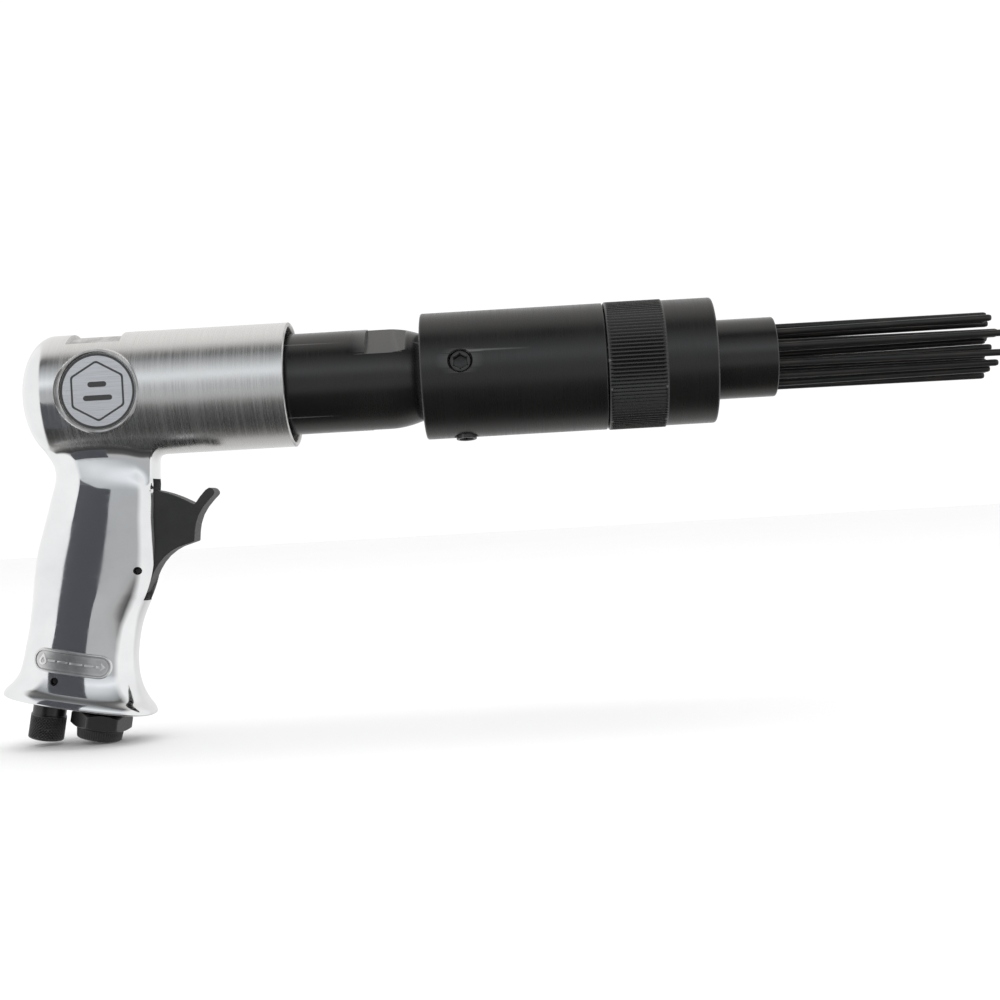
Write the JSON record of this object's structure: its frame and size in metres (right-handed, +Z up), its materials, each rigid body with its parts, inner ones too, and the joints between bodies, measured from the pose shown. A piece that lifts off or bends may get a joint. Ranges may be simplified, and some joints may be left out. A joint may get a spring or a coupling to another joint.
{
  "type": "pneumatic needle scaler",
  "caption": "Pistol-grip pneumatic needle scaler: polished housing and grip, black barrel and knurled collar, bundle of steel needles, sprung trigger, regulator knob and air inlet.",
  "frame": {"origin": "middle of the bounding box in plan, at the tool's lowest point", "axes": "+X forward along the barrel to the needle tips, +Z up, +Y to the tool's left; the tool is symmetric about the plane Y=0 apart from small details"},
  "size_m": [0.4601, 0.058, 0.1878],
  "materials": {
    "badge_face": "brushed plate with black print",
    "bare_steel": "ground",
    "black_plastic": "moulded, fine texture",
    "black_rubber": "matte",
    "blackened_steel": "black oxide, satin",
    "brass": "machined",
    "needle_steel": "dark oiled wire",
    "polished_aluminium": "polished casting"
  },
  "bodies": {
    "tool": {"housing": "polished_aluminium", "badge_right": "badge_face", "badge_left": "badge_face", "cylinder": "blackened_steel", "valve_cap": "bare_steel", "valve_chest": "bare_steel", "attachment_sleeve": "blackened_steel", "set_screw_1": "blackened_steel", "set_screw_2": "blackened_steel", "set_screw_3": "blackened_steel", "nose_tube": "blackened_steel", "trigger_pin": "blackened_steel", "throttle_bush": "brass", "throttle_seal": "black_rubber", "throttle_seat": "brass", "throttle_spring": "bare_steel", "return_spring": "bare_steel", "regulator_pin": "blackened_steel", "inlet_bushing": "blackened_steel", "inlet_seal_ring": "black_rubber", "inlet_strainer": "brass"},
    "valve_disc": {"valve_disc": "bare_steel"},
    "piston": {"piston": "bare_steel"},
    "anvil": {"anvil": "bare_steel"},
    "front_cap": {"front_cap": "blackened_steel"},
    "needle_holder": {"needle_holder": "bare_steel"},
    "trigger": {"trigger": "black_plastic"},
    "throttle_stem": {"throttle_stem": "bare_steel"},
    "regulator": {"regulator_knob": "blackened_steel", "regulator_o_ring": "black_rubber"},
    "dust_plug": {"inlet_dust_plug": "black_plastic"},
    "needle_01": {"needle_01": "needle_steel"},
    "needle_02": {"needle_02": "needle_steel"},
    "needle_03": {"needle_03": "needle_steel"},
    "needle_04": {"needle_04": "needle_steel"},
    "needle_05": {"needle_05": "needle_steel"},
    "needle_06": {"needle_06": "needle_steel"},
    "needle_07": {"needle_07": "needle_steel"},
    "needle_08": {"needle_08": "needle_steel"},
    "needle_09": {"needle_09": "needle_steel"},
    "needle_10": {"needle_10": "needle_steel"},
    "needle_11": {"needle_11": "needle_steel"},
    "needle_12": {"needle_12": "needle_steel"},
    "needle_13": {"needle_13": "needle_steel"},
    "needle_14": {"needle_14": "needle_steel"},
    "needle_15": {"needle_15": "needle_steel"},
    "needle_16": {"needle_16": "needle_steel"},
    "needle_17": {"needle_17": "needle_steel"},
    "needle_18": {"needle_18": "needle_steel"},
    "needle_19": {"needle_19": "needle_steel"}
  },
  "joints": [
    {"name": "trigger_pull", "type": "hinge", "parent": "tool", "child": "trigger", "pos_m": [-0.16307, 0, 0.07838], "axis": [0, -1, 0], "range_deg": [0, 8], "stiffness_Nm_per_rad": 0.6, "springref_deg": -20.05},
    {"name": "throttle_open", "type": "slide", "parent": "tool", "child": "throttle_stem", "axis": [-0.9806, 0, 0.1959], "range_m": [0, 0.003], "deforming": ["throttle_spring"]},
    {"name": "regulator_turn", "type": "hinge", "parent": "tool", "child": "regulator", "pos_m": [-0.21139, 0, 0.01217], "axis": [-0.1959, 0, -0.9806], "continuous": true},
    {"name": "dust_plug_pull", "type": "slide", "parent": "tool", "child": "dust_plug", "axis": [-0.1959, 0, -0.9806], "range_m": [0, 0.016]},
    {"name": "front_cap_turn", "type": "hinge", "parent": "tool", "child": "front_cap", "pos_m": [0.0693, 0, 0.1592], "axis": [1, 0, 0], "continuous": true},
    {"name": "valve_flutter", "type": "slide", "parent": "tool", "child": "valve_disc", "axis": [1, 0, 0], "range_m": [-0.0008, 0.0008]},
    {"name": "piston_stroke", "type": "slide", "parent": "tool", "child": "piston", "axis": [1, 0, 0], "range_m": [-0.029, 0.055]},
    {"name": "anvil_blow", "type": "slide", "parent": "tool", "child": "anvil", "axis": [1, 0, 0], "range_m": [0, 0.003]},
    {"name": "holder_travel", "type": "slide", "parent": "tool", "child": "needle_holder", "axis": [1, 0, 0], "range_m": [0, 0.005], "stiffness_N_per_m": 900, "springref_m": -0.012, "deforming": ["return_spring"]},
    {"name": "needle_01_slide", "type": "slide", "parent": "needle_holder", "child": "needle_01", "axis": [1, 0, 0.0096], "range_m": [-0.00196, 0.00524]},
    {"name": "needle_02_slide", "type": "slide", "parent": "needle_holder", "child": "needle_02", "axis": [1, 0.0065, -0.0012], "range_m": [-0.00493, 0.00227]},
    {"name": "needle_03_slide", "type": "slide", "parent": "needle_holder", "child": "needle_03", "axis": [0.9999, -0.0096, -0.0093], "range_m": [-0.00724, 0]},
    {"name": "needle_04_slide", "type": "slide", "parent": "needle_holder", "child": "needle_04", "axis": [1, 0.0076, 0.0036], "range_m": [-0.00602, 0.00118]},
    {"name": "needle_05_slide", "type": "slide", "parent": "needle_holder", "child": "needle_05", "axis": [1, -0.0017, 0.0083], "range_m": [-0.00278, 0.00442]},
    {"name": "needle_06_slide", "type": "slide", "parent": "needle_holder", "child": "needle_06", "axis": [1, -0.0052, -0.0058], "range_m": [-0.00156, 0.00564]},
    {"name": "needle_07_slide", "type": "slide", "parent": "needle_holder", "child": "needle_07", "axis": [0.9999, 0.0093, -0.0069], "range_m": [-0.00387, 0.00333]},
    {"name": "needle_08_slide", "type": "slide", "parent": "needle_holder", "child": "needle_08", "axis": [0.9999, -0.0085, 0.0075], "range_m": [-0.00684, 0.00036]},
    {"name": "needle_09_slide", "type": "slide", "parent": "needle_holder", "child": "needle_09", "axis": [1, 0.0033, 0.0049], "range_m": [-0.00677, 0.00043]},
    {"name": "needle_10_slide", "type": "slide", "parent": "needle_holder", "child": "needle_10", "axis": [1, 0.0037, -0.0088], "range_m": [-0.00376, 0.00344]},
    {"name": "needle_11_slide", "type": "slide", "parent": "needle_holder", "child": "needle_11", "axis": [1, -0.0087, -0.0026], "range_m": [-0.00154, 0.00566]},
    {"name": "needle_12_slide", "type": "slide", "parent": "needle_holder", "child": "needle_12", "axis": [0.9999, 0.0092, 0.0095], "range_m": [-0.00288, 0.00432]},
    {"name": "needle_13_slide", "type": "slide", "parent": "needle_holder", "child": "needle_13", "axis": [1, -0.0048, 0.0002], "range_m": [-0.00611, 0.00109]},
    {"name": "needle_14_slide", "type": "slide", "parent": "needle_holder", "child": "needle_14", "axis": [1, -0.0021, -0.0095], "range_m": [-0.00721, 0]},
    {"name": "needle_15_slide", "type": "slide", "parent": "needle_holder", "child": "needle_15", "axis": [1, 0.0078, 0.0023], "range_m": [-0.00481, 0.00239]},
    {"name": "needle_16_slide", "type": "slide", "parent": "needle_holder", "child": "needle_16", "axis": [0.9999, -0.0095, 0.009], "range_m": [-0.0019, 0.0053]},
    {"name": "needle_17_slide", "type": "slide", "parent": "needle_holder", "child": "needle_17", "axis": [1, 0.0062, -0.0046], "range_m": [-0.0021, 0.0051]},
    {"name": "needle_18_slide", "type": "slide", "parent": "needle_holder", "child": "needle_18", "axis": [1, 0.0004, -0.0078], "range_m": [-0.00516, 0.00204]},
    {"name": "needle_19_slide", "type": "slide", "parent": "needle_holder", "child": "needle_19", "axis": [1, -0.0068, 0.0066], "range_m": [-0.00728, 0]}
  ],
  "couplings": [
    {"joint": "throttle_open", "follows": "trigger_pull", "m_per_rad": 0.0205}
  ]
}
